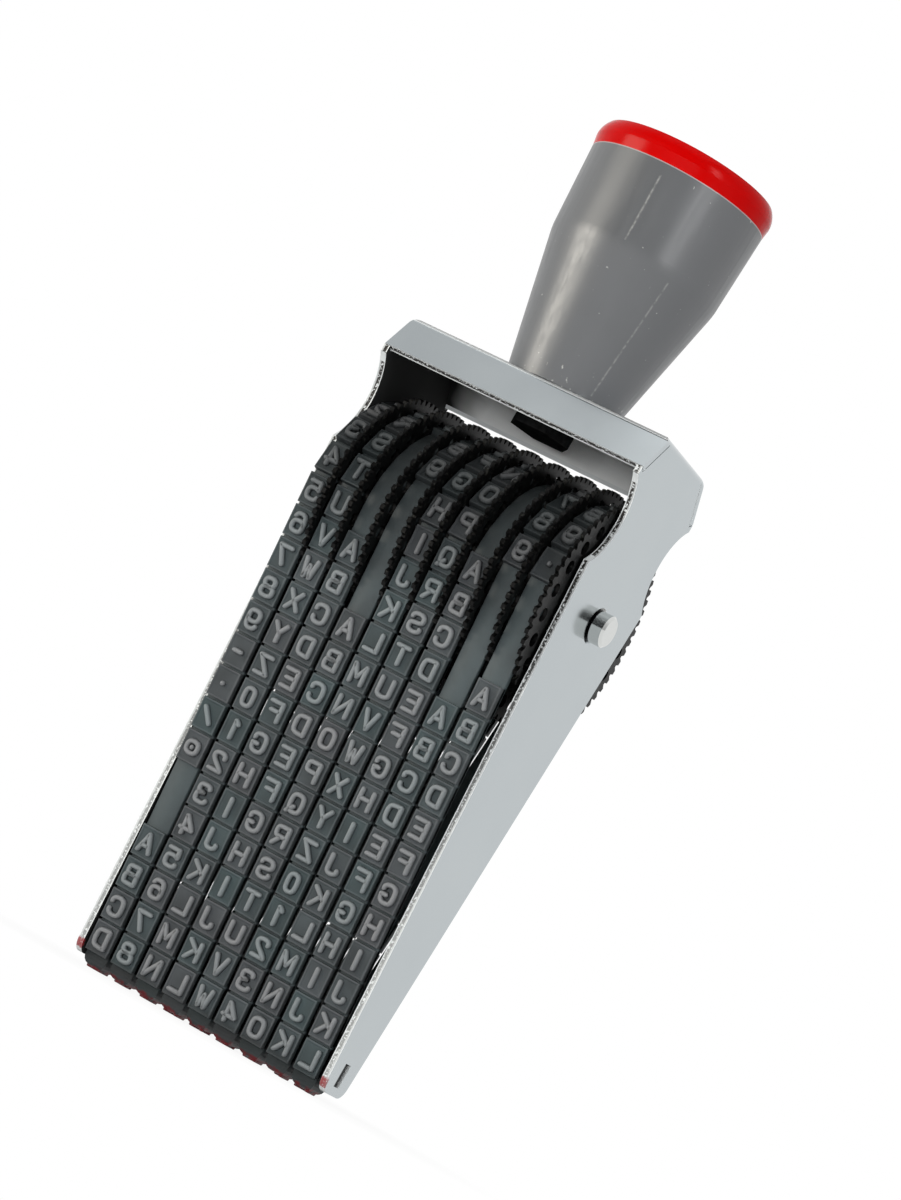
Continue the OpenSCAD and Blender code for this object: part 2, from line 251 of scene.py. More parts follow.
def rubber():
    """Two slate tones, clouded; paler where rubbed and by painted light; painted shade at the top; inked low.
    """
    material, tree, shader, place = start_material("moulded band rubber")
    batch = add(tree, "Attribute", attribute_name="batch").outputs["Fac"]
    rubbed_and_lit = add(tree, "Attribute", attribute_name="rubbed_and_lit").outputs["Fac"]
    height = add(tree, "SeparateXYZ", {"Vector": place}).outputs["Z"]
    tone = add(tree, "Mix", {
        "Factor": batch, "A": colour(SLATE), "B": colour(WARM_SLATE)}, data_type="RGBA")
    cloud = add(tree, "TexNoise", {"Vector": place, "Scale": per_mm(STAIN_MM), "Detail": 4.0})
    spread = add(tree, "MapRange", {"Value": cloud, "From Min": 0.35, "From Max": 0.7, "To Max": STAINED})
    worn = add(tree, "Mix", {"Factor": spread, "A": tone, "B": colour(STAIN)}, data_type="RGBA")
    pale = add(tree, "Mix", {
        "Factor": batch, "A": colour(RUBBED_AND_LIT_SLATE), "B": colour(RUBBED_AND_LIT_WARM)}, data_type="RGBA")
    # Paler where rubbed, and where a painted highlight or painted light lies.
    surface = add(tree, "Mix", {"Factor": rubbed_and_lit, "A": worn, "B": pale}, data_type="RGBA")
    printed = add(tree, "MapRange", {
        "Value": height, "From Min": GRIME_TOP * MM, "From Max": INK_TOP * MM, "To Max": PRINTED})
    # Painted shade: darker towards the top, under the head.
    top_shade = add(tree, "MapRange", {
        "Value": height, "From Min": TOP_SHADE_FROM * MM, "From Max": TOP_SHADE_TO * MM, "To Max": TOP_SHADE})
    grime_and_shade = add(tree, "Math", {0: printed, 1: top_shade}, operation="ADD")
    darkened = add(tree, "Mix", {"Factor": grime_and_shade, "A": surface, "B": colour(GRIME_AND_SHADE)}, data_type="RGBA")
    low = add(tree, "MapRange", {"Value": height, "From Min": INK_TOP * MM, "From Max": INK_FULL * MM})
    blot = add(tree, "TexNoise", {"Vector": place, "Scale": per_mm(BLOT_MM), "Detail": 3.0})
    wet = add(tree, "Math", {0: low, 1: blot}, operation="MULTIPLY")
    ink = add(tree, "MapRange", {"Value": wet, "From Min": 0.3, "From Max": 0.48, "To Max": INKED})
    inked = add(tree, "Mix", {"Factor": ink, "A": darkened, "B": colour(OLD_INK)}, data_type="RGBA")
    grain = add(tree, "TexNoise", {"Vector": place, "Scale": per_mm(GRAIN_MM), "Detail": 5.0})
    bump = add(tree, "Bump", {"Strength": 0.25, "Distance": 0.06 * MM, "Height": grain})
    rough = add(tree, "MapRange", {"Value": grain, "To Min": 0.35, "To Max": 0.6})
    feed(shader, {"Base Color": inked, "Normal": bump, "Roughness": rough,
                  "IOR": RUBBER_IOR, "Specular IOR Level": RUBBER_GLOSS})
    return material


band_rubber = rubber()
print("made", band_rubber.name)

# %% [markdown]
# ## The characters
# Stamp type is a plain engraver's alphabet: strokes of one width with round ends. A text object would
# bring a font's own shapes, so each character is written as the pen would draw it, on a field four units
# wide and six high. A straight part is drawn from point to point; a part that starts with ~ is a smooth
# curve that its points guide, and o closes it. The type is mirrored on the band so that it prints the right
# way round.

# %% Pen strokes of the alphabet
ROUND = "~o 1,6 0,5 0,1 1,0 3,0 4,1 4,5 3,6"
BOWL = "0,0 0,6|~ 0,6 2.4,6 4,5.9 4,2.9 2.4,2.8 0,2.8"
PEN = {
    "A": "0,0 2,6 4,0|.7,2 3.3,2",
    "B": "0,0 0,6|~ 0,6 2.2,6 3.6,5.9 3.6,3.3 2.2,3.2 0,3.2|~ 0,3.2 2.4,3.2 4,3.1 4,.1 2.4,0 0,0",
    "C": "~ 4,4.3 4,5.2 3,6 1,6 0,5 0,1 1,0 3,0 4,.8 4,1.7",
    "D": "0,0 0,6|~ 0,6 1.8,6 4,5.6 4,.4 1.8,0 0,0",
    "E": "4,6 0,6 0,0 4,0|0,3.1 3.2,3.1",
    "F": "4,6 0,6 0,0|0,3.1 3.2,3.1",
    "G": "~ 4,4.3 4,5.2 3,6 1,6 0,5 0,1 1,0 3,0 4,1 4,2.6|4,2.6 2.4,2.6",
    "H": "0,0 0,6|4,0 4,6|0,3.1 4,3.1",
    "I": "2,0 2,6",
    "J": "~ .4,1.6 .4,.7 1.2,0 2.8,0 3.6,.8 3.6,2|3.6,2 3.6,6",
    "K": "0,0 0,6|4,6 0,2.4|1.4,3.6 4,0",
    "L": "0,6 0,0 4,0",
    "M": "0,0 0,6 2,2 4,6 4,0",
    "N": "0,0 0,6 4,0 4,6",
    "O": ROUND,
    "P": BOWL,
    "Q": ROUND + "|2.4,1.8 4.2,-.2",
    "R": BOWL + "|2,2.8 4,0",
    "S": "~ 3.9,4.7 3.9,5.3 3,6 1,6 0,5.2 0,3.6 1,3.1 3,3 4,2.6 4,.8 3,0 1,0 .1,.7 .1,1.3",
    "T": "0,6 4,6|2,6 2,0",
    "U": "0,6 0,2|~ 0,2 0,.8 1,0 3,0 4,.8 4,2|4,2 4,6",
    "V": "0,6 2,0 4,6",
    "W": "0,6 1,0 2,4 3,0 4,6",
    "X": "0,0 4,6|0,6 4,0",
    "Y": "0,6 2,3 4,6|2,3 2,0",
    "Z": "0,6 4,6 0,0 4,0",
    "0": "~o 1.2,6 .4,5 .4,1 1.2,0 2.8,0 3.6,1 3.6,5 2.8,6",
    "1": ".9,4.9 2,6 2,0",
    "2": "~ .2,4.5 .2,5.3 1,6 3,6 3.8,5.2 3.8,4.2 3,3 .9,1.2 0,0|0,0 4,0",
    "3": "~ .2,5 .4,5.6 1,6 3,6 3.7,5.4 3.7,3.7 3,3.2 1.6,3.2|"
         "~ 1.6,3.2 3,3.2 3.9,2.7 3.9,.6 3,0 1,0 .3,.4 .1,1.1",
    "4": "3,0 3,6 0,1.8 4,1.8",
    "5": "3.8,6 .5,6 .3,3.4|~ .3,3.4 1.2,3.9 3,3.9 3.9,3.2 3.9,.8 3,0 1,0 .3,.4 .1,1.1",
    "6": "~ 3.7,4.9 3.4,5.6 2.8,6 1.2,6 .2,5 .2,.8 1,0 3,0 3.9,.8 3.9,2.9 3,3.7 1,3.7 .2,2.9 .2,2",
    "7": "0,6 4,6 1.4,0",
    "8": "~o 1.2,3.2 .3,3.8 .3,5.4 1.2,6 2.8,6 3.7,5.4 3.7,3.8 2.8,3.2|"
         "~o 1,3.2 0,2.5 0,.7 1,0 3,0 4,.7 4,2.5 3,3.2",
    "9": "~ .3,1.1 .6,.4 1.2,0 2.8,0 3.8,1 3.8,5.2 3,6 1,6 .1,5.2 .1,3.1 1,2.3 3,2.3 3.8,3.1 3.8,4",
    "-": ".8,3 3.2,3",
    ".": "2,2.9 2,3.1",
    "/": ".4,.6 3.6,5.4",
    "@": "~o 1.1,5 .1,4.2 .1,1.8 1.1,1 2.9,1 3.9,1.8 3.9,4.2 2.9,5|2,3.1 2,2.9",
}
ORDER = "ABCDEFGHIJKLMNOPQRSTUVWXYZ0123456789."
FIRST_BAND_ORDER = "ABCDEFGHIJKLMNPRSTUVWXYZ0123456789-./@"
print(len(PEN), "characters,", sum(strokes.count("|") + 1 for strokes in PEN.values()), "pen strokes")

# %% Strokes as rounded ridges
# The flank profile is (across in half strokes, up in reliefs). The tips are shares of the half stroke, the
# width and the relief, at the two points that an open end runs on by.
FIELD = np.array([4, 6])
TYPE_W, TYPE_H, STROKE = 1.8, 2.5, 0.6
FLANK = np.array([[1.5, -0.2], [1.05, 0.5], [0.6, 1.0], [-0.6, 1.0], [-1.05, 0.5], [-1.5, -0.2]])
# The tops of the strokes are paler: partly rubbed, partly a painted highlight.
FLANK_RUBBED_AND_LIT = np.array([0.0, 0.7, 1.0, 1.0, 0.7, 0.0])
TIP_REACH = np.array([0.96, 0.66])
TIP_WIDTH = np.array([0.3, 0.76])
TIP_HEIGHT = np.array([0.72, 0.97])


def curve(spots, closed):
    """Smooth path guided by spots: a quadratic spline, three points on each piece of it.

    A piece runs from the middle before a spot to the middle after it:
    (1 - t)^2 / 2 * before + (1/2 + t - t^2) * spot + t^2 / 2 * after.
    """
    before, after = np.roll(spots, 1, axis=0), np.roll(spots, -1, axis=0)
    t = np.array([0, 1 / 3, 2 / 3])[None, :, None]
    into, at, past = (1 - t) ** 2 / 2, 0.5 + t - t**2, t**2 / 2
    pieces = into * before[:, None] + at * spots[:, None] + past * after[:, None]
    if closed:
        return pieces.reshape(-1, 2)
    return np.concatenate([spots[:1], pieces[1:-1].reshape(-1, 2), [spots[-2:].mean(axis=0)], spots[-1:]])


def ridge(path, closed):
    """A ridge along a path: at each point the flank profile stands across the path's direction.

    The profile rises from the pad in two slopes to the full relief. Open ends run on by half a stroke and
    taper. Gives points (across, along, up) in mm and quads.
    """
    ahead = np.roll(path, -1, axis=0) - path
    way = ahead + np.roll(ahead, 1, axis=0)
    if not closed:
        way[0], way[-1] = ahead[0], ahead[-2]
    way /= np.linalg.norm(way, axis=1, keepdims=True)
    width, height = np.ones(len(path)), np.ones(len(path))
    if not closed:
        reach = TIP_REACH[:, None] * STROKE / 2
        path = np.concatenate([path[0] - reach * way[0], path, path[-1] + reach[::-1] * way[-1]])
        way = np.concatenate([way[[0, 0]], way, way[[-1, -1]]])
        width = np.concatenate([TIP_WIDTH, width, TIP_WIDTH[::-1]])
        height = np.concatenate([TIP_HEIGHT, height, TIP_HEIGHT[::-1]])
    beside = np.stack([way[:, 1], -way[:, 0]], 1)
    out = path[:, None] + beside[:, None] * (FLANK[:, 0] * STROKE / 2)[None, :, None] * width[:, None, None]
    up = FLANK[None, :, 1] * RELIEF * height[:, None]
    points = np.concatenate([out, up[..., None]], 2).reshape(-1, 3)
    quads = grid_faces(len(path), len(FLANK), close_rows=closed)
    return points, quads if closed else np.concatenate([quads, end_caps(len(path), len(FLANK))])


def draw(strokes):
    """Ridges of one character, mirrored, with its middle at the origin: (points, quads)."""
    points, quads, count = [], [], 0
    for stroke in strokes.split("|"):
        mark, *rest = stroke.split()
        curved = mark.startswith("~")
        spots = np.array([spot.split(",") for spot in (rest if curved else [mark, *rest])], float)
        spots = (spots / FIELD - 0.5) * [TYPE_W, TYPE_H]
        closed = mark == "~o"
        paths = [curve(spots, closed)] if curved else [spots[i:i + 2] for i in range(len(spots) - 1)]
        for path in paths:
            p, q = ridge(path, closed)
            points.append(p)
            quads.append(q + count)
            count += len(p)
    points, quads = np.concatenate(points), np.concatenate(quads)
    return points * [-1, 1, 1], quads[:, ::-1]


letters = {sign: draw(strokes) for sign, strokes in PEN.items()}
print("faces of A:", len(letters["A"][1]), " of O:", len(letters["O"][1]))

# %% [markdown]
# ## Nine bands
# A band is a flat backing strip with a row of pads moulded onto it, and one character on each pad. A short
# stretch has no pads. The backing is a profile carried round the path; a pad is a block with rounded upper
# edges, set at the path's point for its cell and turned to its direction. Copies of one pad object would
# look the same, but arrays of points make each band a single piece, as the real one is.

# %% Backing and pads of a band
# A ring of a pad is (in from its edge, above the backing) in mm. The pale values go with the points of
# the backing's profile and with the rings: painted light on the backing's face, a painted highlight on the
# lips.
PAD_RINGS = np.array([[0, -0.7], [0, 0.66], [0.05, 0.77], [0.16, 0.8], [0.28, 0.78], [0.42, 0.72]])
PRINT_RINGS = np.array([[0, -0.7], [0.05, 0.2], [0.2, 0.65], [0.45, 0.95], [0.75, 1.12], [1.1, 1.18]])
BACKING_EDGE = 0.12
# Painted light: the outer face of the backing is paler, against the shade it lies in between the pads.
BACKING_PAINTED_LIGHT = np.array([0.16, 0, 0, 0, 0, 0, 0, 0.16])
# Painted highlight on the rounded lips of the pads.
PAD_LIP_HIGHLIGHT = np.array([0, 0.1, 0.24, 0.16, 0, 0])
PAD_CORNERS = np.array([[-1, -1], [1, -1], [1, 1], [-1, 1]])
FLAT_STEPS, CORNER_STEPS, RUN_STEPS, DRUM_STEPS = 3, 10, 24, 44


def backing(x_middle):
    """Profile of the backing strip, a rectangle with cut corners, carried once round the path."""
    marks = np.cumsum([TURN_Y, CORNER, RUN])
    front = np.concatenate([
        np.linspace(0, marks[0], FLAT_STEPS)[:-1], np.linspace(marks[0], marks[1], CORNER_STEPS)[:-1],
        np.linspace(marks[1], marks[2], RUN_STEPS)[:-1], np.linspace(marks[2], HALF, DRUM_STEPS)])
    s = np.concatenate([front, 2 * HALF - front[-2:0:-1]])
    w, e = BAND_W / 2, BACKING_EDGE
    across = np.array([-w + e, -w, -w, -w + e, w - e, w, w, w - e])
    out = np.array([0, -e, e - BACKING, -BACKING, -BACKING, e - BACKING, -e, 0])
    y, z, ny, nz = belt(s)
    x = np.broadcast_to(x_middle + across, (len(s), len(across)))
    points = np.stack([x, y[:, None] + ny[:, None] * out, z[:, None] + nz[:, None] * out], -1)
    return points.reshape(-1, 3), grid_faces(len(s), len(across), close_rows=True)


def on_cells(cells, local, x_middle):
    """Local points (across, along, out), one set per cell, moved to their cells of the band."""
    y, z, ny, nz = (v.reshape(-1, *[1] * (local.ndim - 2)) for v in belt(cell_distance(cells)))
    across, along, out = local[..., 0], local[..., 1], local[..., 2]
    return np.stack([x_middle + across + 0 * y, y + ny * out + nz * along, z + nz * out - ny * along], -1)


def pads(cells, x_middle):
    """Blocks on the given cells, as rings of four corners: side, rounded lip and a slightly dished top.

    The pad of the print row, cell 0, is worn round at its edges.
    """
    half = np.array([BAND_W, min(PITCH, CROWN_PITCH) - GROOVE]) / 2
    rings = np.where((cells == 0)[:, None, None], PRINT_RINGS, PAD_RINGS)
    across = PAD_CORNERS * (half - rings[:, :, :1])[:, :, None, :]
    level = np.broadcast_to(rings[:, :, None, 1:], (*across.shape[:3], 1))
    local = np.concatenate([across, level], 3).reshape(len(cells), -1, 3)
    shape = len(PAD_RINGS), len(PAD_CORNERS)
    quads = np.concatenate([grid_faces(*shape, count=len(cells)), end_caps(*shape, count=len(cells))])
    return on_cells(cells, local, x_middle).reshape(-1, 3), quads


print(len(PAD_RINGS), "rings on a pad")

# %% One band
# On each band, the place of the A and the number of places beyond it that stay bare.
FIRST = [4, 35, 14, 12, 23, 31, 15, 11, 12]
BARE = [2, 4, 4, 4, 4, 4, 4, 4, 3]
BACKING_TONE = 0.2
chance = np.random.default_rng(7)


def type_band(number):
    """The band on one wheel, as one piece."""
    low, high = box_mm(f"band_{number}")
    x_middle = (low[0] + high[0]) / 2
    cells = np.arange(CELLS)
    past = (cells - FIRST[number - 1]) % CELLS
    cells = cells[(past == 0) | (past > BARE[number - 1])]
    batch = chance.random(len(cells))
    order = FIRST_BAND_ORDER if number == 1 else ORDER
    points, quads = backing(x_middle)
    # Painted light on the outer face of the backing.
    outer_face = np.tile(BACKING_PAINTED_LIGHT, len(points) // len(BACKING_PAINTED_LIGHT))
    grids = [(points, quads, True, BACKING_TONE, outer_face)]
    points, quads = pads(cells, x_middle)
    # Painted highlight on the lips of the pads.
    lips = np.tile(np.repeat(PAD_LIP_HIGHLIGHT, len(PAD_CORNERS)), len(cells))
    grids.append((points, quads, False, np.repeat(batch, len(points) // len(cells)), lips))
    for cell, shade in zip(cells, batch):
        sign = order[(FIRST[number - 1] - cell) % CELLS]
        local, quads = letters[sign]
        raised = on_cells(np.array([cell]), (local + [0, 0, PAD])[None], x_middle)
        # Stroke tops paler: rubbed, and a painted highlight.
        grids.append((raised[0], quads, True, shade, np.tile(FLANK_RUBBED_AND_LIT, len(local) // len(FLANK))))
    piece = make_piece(f"type_band_{number}", grids, band_rubber)
    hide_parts(f"band_{number}")
    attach(piece, "stamp")
    return piece


bands = [type_band(number) for number in range(1, 10)]
print("faces on each band:", [len(band.data.polygons) for band in bands])

# %% [markdown]
# ## Chromed sheet
# The frame is thin steel sheet, blanked and bent, then bright plated. The faces are smooth and show the
# white room as a pale, slightly blue grey, and faint wiping marks soften them. The cut edges are painted
# pale and dull as a painted highlight, with a fine line and a dark, broken one from the blanking tool.
# Inside, the underside of the head is painted white and dull, a painted reflection of the bright room, and
# painted shade blackens it towards the left end; the inner faces of the plates are painted black, as shade.
# Red ink has crept onto the lower tips. All of this follows from where a point is and which way it looks, so
# the imported mesh stays as it is, and one material tells the places apart.

# %% Cut edges of the sheet
# The strips are bent down by DROP and out by REACH, in mm. The pits are drawn coarser than they are.
SHEET = 0.9
STRIP_DROP, STRIP_REACH = 5.7, 3.95
ALONG_STRIP, ALONG_X = 0.97, 0.6
FINE_LINE, BROKEN_LINE = (0.2, 0.1, 0.05, 0.4), (0.58, 0.34, 0.22, 1.0)
PIT_MM = 0.3
CLEAN_CUT_Z, ROUGH_CUT_Z, CLEAN_CUT = 25, 70, 0.6
FRAME_CORNER = box_mm("frame")[1]


def cut_edges(tree, place, normal):
    """Where the sheet is cut, how dark the tool's marks are there, and their noise: (edge, marks, speck).

    Cut edges are the faces of the plates that do not look along X, and the lower ends of the sloping
    strips, which look along the strip. The place across an edge is 0 outside and 1 inside the sheet. A line
    has its middle on that scale, its faint and its full half-width, and its strength.
    """
    slope = np.array([0, STRIP_REACH, STRIP_DROP]) / math.hypot(STRIP_REACH, STRIP_DROP)
    across = np.array([0, -slope[2], -slope[1]]) / SHEET
    eave = np.array([0, FRAME_CORNER[1], FRAME_CORNER[2] - STRIP_DROP])
    looks = add(tree, "VectorMath", {0: normal}, operation="ABSOLUTE")
    folded = add(tree, "VectorMath", {0: place}, operation="ABSOLUTE")
    height = add(tree, "SeparateXYZ", {"Vector": place}).outputs["Z"]
    sideways = add(tree, "SeparateXYZ", {"Vector": looks}).outputs["X"]
    from_middle = add(tree, "SeparateXYZ", {"Vector": folded}).outputs["X"]
    along = add(tree, "VectorMath", {0: looks, 1: slope.tolist()}, operation="DOT_PRODUCT")
    strip_end = add(tree, "Math", {0: along, 1: ALONG_STRIP}, operation="GREATER_THAN")
    below = add(tree, "Math", {0: height, 1: eave[2] * MM}, operation="LESS_THAN")
    plate_end = add(tree, "Math", {0: sideways, 1: ALONG_X}, operation="LESS_THAN")
    plate_edge = add(tree, "Math", {0: below, 1: plate_end}, operation="MULTIPLY")
    edge = add(tree, "Math", {0: plate_edge, 1: strip_end}, operation="MAXIMUM")
    plate_depth = add(tree, "MapRange", {
        "Value": from_middle, "From Min": FRAME_CORNER[0] * MM, "From Max": (FRAME_CORNER[0] - SHEET) * MM})
    slant = add(tree, "VectorMath", {0: folded, 1: (across / MM).tolist()}, operation="DOT_PRODUCT")
    strip_depth = add(tree, "Math", {0: slant, 1: -float(across @ eave)}, operation="ADD")
    depth = add(tree, "Mix", {"Factor": strip_end, "A": plate_depth, "B": strip_depth})
    lines = []
    for middle, faint, full, strength in (FINE_LINE, BROKEN_LINE):
        offset = add(tree, "Math", {0: depth, 1: middle}, operation="SUBTRACT")
        distance = add(tree, "Math", {0: offset}, operation="ABSOLUTE")
        lines.append(add(tree, "MapRange", {
            "Value": distance, "From Min": faint, "From Max": full, "To Max": strength}))
    speck = add(tree, "TexNoise", {"Vector": place, "Scale": per_mm(PIT_MM), "Detail": 2.0})
    pits = add(tree, "MapRange", {"Value": speck, "From Min": 0.35, "From Max": 0.47})
    broken = add(tree, "Math", {0: lines[1], 1: pits}, operation="MULTIPLY")
    drawn = add(tree, "Math", {0: lines[0], 1: broken}, operation="MAXIMUM")
    rough_cut = add(tree, "MapRange", {
        "Value": height, "From Min": CLEAN_CUT_Z * MM, "From Max": ROUGH_CUT_Z * MM, "To Min": CLEAN_CUT})
    cut = add(tree, "Math", {0: rough_cut, 1: edge}, operation="MULTIPLY")
    return edge, add(tree, "Math", {0: drawn, 1: cut}, operation="MULTIPLY"), speck


print("cut edges: top corner of the frame at", FRAME_CORNER.round(2), "mm")

# %% Inside and tips of the sheet
# Painted shade: noise patches, in mm, that blacken the underside of the head, more towards the left end.
SHADE_MM = 7
SHADE_FROM, SHADE_TO, SHADE_SHIFT = -13, -20, 0.6
LOOKS_DOWN = -0.3
TIP_INK_Z, TIP_INK_Y = (3.6, 2.2), (-2.9, -3.6)


def inner_faces(tree, place, normal):
    """Inside of the plates, underside of the head, and painted shade on that underside, each from 0 to 1.

    A plate's face is inner where its place along X and its normal point opposite ways. The painted shade is a
    noise that is raised towards the left end.
    """
    at = add(tree, "SeparateXYZ", {"Vector": place}).outputs
    looks = add(tree, "SeparateXYZ", {"Vector": normal}).outputs
    outwards = add(tree, "Math", {0: at["X"], 1: looks["X"]}, operation="MULTIPLY")
    lining = add(tree, "Math", {0: outwards, 1: -0.5 * FRAME_CORNER[0] * MM}, operation="LESS_THAN")
    underside = add(tree, "Math", {0: looks["Z"], 1: LOOKS_DOWN}, operation="LESS_THAN")
    painted_shade = add(tree, "TexNoise", {"Vector": place, "Scale": per_mm(SHADE_MM), "Detail": 2.0})
    leftwards = add(tree, "MapRange", {
        "Value": at["X"], "From Min": SHADE_FROM * MM, "From Max": SHADE_TO * MM,
        "To Min": -SHADE_SHIFT, "To Max": SHADE_SHIFT})
    return lining, underside, add(tree, "Math", {0: leftwards, 1: painted_shade}, operation="ADD", use_clamp=True)


def tip_ink(tree, place, speck):
    """Ink in blots on the front of the lowest tips: a product of two ramps and the noise."""
    at = add(tree, "SeparateXYZ", {"Vector": place}).outputs
    low, front = (
        add(tree, "MapRange", {"Value": at[axis], "From Min": start * MM, "From Max": end * MM})
        for axis, (start, end) in (("Z", TIP_INK_Z), ("Y", TIP_INK_Y)))
    tip = add(tree, "Math", {0: low, 1: front}, operation="MULTIPLY")
    blot = add(tree, "Math", {0: tip, 1: speck}, operation="MULTIPLY")
    return add(tree, "MapRange", {"Value": blot, "From Min": 0.16, "From Max": 0.28, "To Max": 0.85})


print("soot from x =", SHADE_FROM, "mm, ink below z =", TIP_INK_Z[0], "mm")

# %% Chromed sheet
WIPE_MM = 14
CHROME, CHROME_WIPED = "#AEB5B8", "#BBC1C3"
# Inside: the underside is painted white, a painted reflection of the bright room, and painted shade blackens
# it; the inner faces of the plates are painted black, as shade.
UNDERSIDE_REFLECTION, SHADE_BLACK, LINING_SHADE = "#F2F4F4", "#161717", "#121313"
# Painted highlight: the cut edges are painted near-white and made dull, for the light they catch.
EDGE_HIGHLIGHT, TOOL_MARK, TIP_INK = "#E2E6E7", "#24211F", "#94101A"
EDGE_METAL_LOSS, INNER_DULL = 0.75, 1.33
DULL_ROUGH, LINING_ROUGH = 0.3, 0.4


def plated_sheet():
    """Bright metal; a painted highlight on cut edges; painted white and painted shade inside; inked tips."""
    material, tree, shader, place = start_material("bright plated steel sheet")
    normal = add(tree, "NewGeometry").outputs["True Normal"]
    edge, marks, speck = cut_edges(tree, place, normal)
    lining, underside, shaded_left = inner_faces(tree, place, normal)
    ink = tip_ink(tree, place, speck)
    wipe = add(tree, "TexNoise", {"Vector": place, "Scale": per_mm(WIPE_MM), "Detail": 5.0})
    surface = add(tree, "Mix", {
        "Factor": wipe, "A": colour(CHROME), "B": colour(CHROME_WIPED)}, data_type="RGBA")
    # The underside: painted white as a painted reflection, blackened by painted shade towards the left.
    ceiling = add(tree, "Mix", {
        "Factor": shaded_left, "A": colour(UNDERSIDE_REFLECTION), "B": colour(SHADE_BLACK)}, data_type="RGBA")
    # Layered on: the underside, the plates' inner faces painted black as shade, the painted highlight of the
    # cut edges, the tool marks and the ink.
    layers = ((underside, ceiling), (lining, colour(LINING_SHADE)), (edge, colour(EDGE_HIGHLIGHT)),
              (marks, colour(TOOL_MARK)), (ink, colour(TIP_INK)))
    for where, layer in layers:
        surface = add(tree, "Mix", {"Factor": where, "A": surface, "B": layer}, data_type="RGBA")
    inner = add(tree, "Math", {0: underside, 1: lining}, operation="MAXIMUM")
    shaded = add(tree, "Math", {0: inner, 1: INNER_DULL}, operation="MULTIPLY")
    dull = add(tree, "Math", {0: shaded, 1: edge}, operation="MAXIMUM")
    bright = add(tree, "Math", {0: dull, 1: -EDGE_METAL_LOSS, 2: 1.0}, operation="MULTIPLY_ADD")
    metal = add(tree, "Math", {0: bright, 1: ink}, operation="SUBTRACT", use_clamp=True)
    smear = add(tree, "MapRange", {
        "Value": wipe, "From Min": 0.3, "From Max": 0.7, "To Min": 0.1, "To Max": 0.22})
    rough = add(tree, "Math", {0: dull, 1: DULL_ROUGH, 2: smear}, operation="MULTIPLY_ADD")
    matt = add(tree, "Math", {0: lining, 1: LINING_ROUGH, 2: rough}, operation="MULTIPLY_ADD")
    bump = add(tree, "Bump", {"Strength": 0.5, "Distance": -0.05 * MM, "Height": marks})
    feed(shader, {"Base Color": surface, "Metallic": metal, "Roughness": matt, "Normal": bump})
    return material


def dress(material, *nodes):
    """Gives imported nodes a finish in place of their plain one."""
    for node in nodes:
        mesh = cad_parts[node].data
        mesh.materials.clear()
        mesh.materials.append(material)


dress(plated_sheet(), "frame")
print("frame dressed")

# %% [markdown]
# ## Grip and cap
# Both are glossy injection-moulded ABS: a mid grey and a strong red. The eye sees the moulding by its soft
# highlights, by a very slight waviness, and by fine rubbing marks along the length of the grip. The grip
# also has two pale broken lines along its length, and specks of dust near its foot. One function makes both
# plastics, because they differ only in colour, gloss and wear.

# %% Wear of the grip
GRIT_MM, LINE_W = 0.6, 0.4
DUST_REACH, DUST_LIFT = 4, 0.1
GRIP_LINES = ((-79, 21, 31, 0.38), (-42, 1, 19, 0.24))


def wear(tree, place, foot_mm, lines, dusty):
    """How pale a point is made, from 0 to 1: by dust round the foot, and by pale broken lines along the grip.

    Each line has a bearing about the axis in degrees, a start and an end in mm above the foot, and a
    strength. It lies where a plane through the axis at that bearing meets the surface, in broken pieces.
    """
    height = add(tree, "SeparateXYZ", {"Vector": place}).outputs["Z"]
    grit = add(tree, "TexNoise", {"Vector": place, "Scale": per_mm(GRIT_MM), "Detail": 1.0})
    low = add(tree, "MapRange", {
        "Value": height, "From Min": (foot_mm + DUST_REACH) * MM, "From Max": foot_mm * MM,
        "To Max": DUST_LIFT})
    settled = add(tree, "Math", {0: grit, 1: low}, operation="ADD")
    spots = add(tree, "MapRange", {"Value": settled, "From Min": 0.76, "From Max": 0.86, "To Max": dusty})
    for bearing, start, end, strength in lines:
        beside = (math.sin(math.radians(bearing)), -math.cos(math.radians(bearing)), 0)
        offset = add(tree, "VectorMath", {0: place, 1: beside}, operation="DOT_PRODUCT")
        distance = add(tree, "Math", {0: offset}, operation="ABSOLUTE")
        line = add(tree, "MapRange", {
            "Value": distance, "From Min": LINE_W * MM / 2, "From Max": 0.0, "To Max": strength})
        middle, half = foot_mm + (start + end) / 2, (end - start) / 2
        part = add(tree, "Math", {0: height, 1: middle * MM, 2: half * MM}, operation="COMPARE")
        kept = add(tree, "MapRange", {"Value": grit, "From Min": 0.3, "From Max": 0.6, "To Max": part})
        pale_line = add(tree, "Math", {0: line, 1: kept}, operation="MULTIPLY")
        spots = add(tree, "Math", {0: spots, 1: pale_line}, operation="MAXIMUM")
    return spots


print(len(GRIP_LINES), "parting lines")

# %% Moulded plastics
RIM_DEPTH = 0.14
WAVE_MM, SCRATCH_MM, SCRATCH_STRETCH = 11, 0.7, 0.06


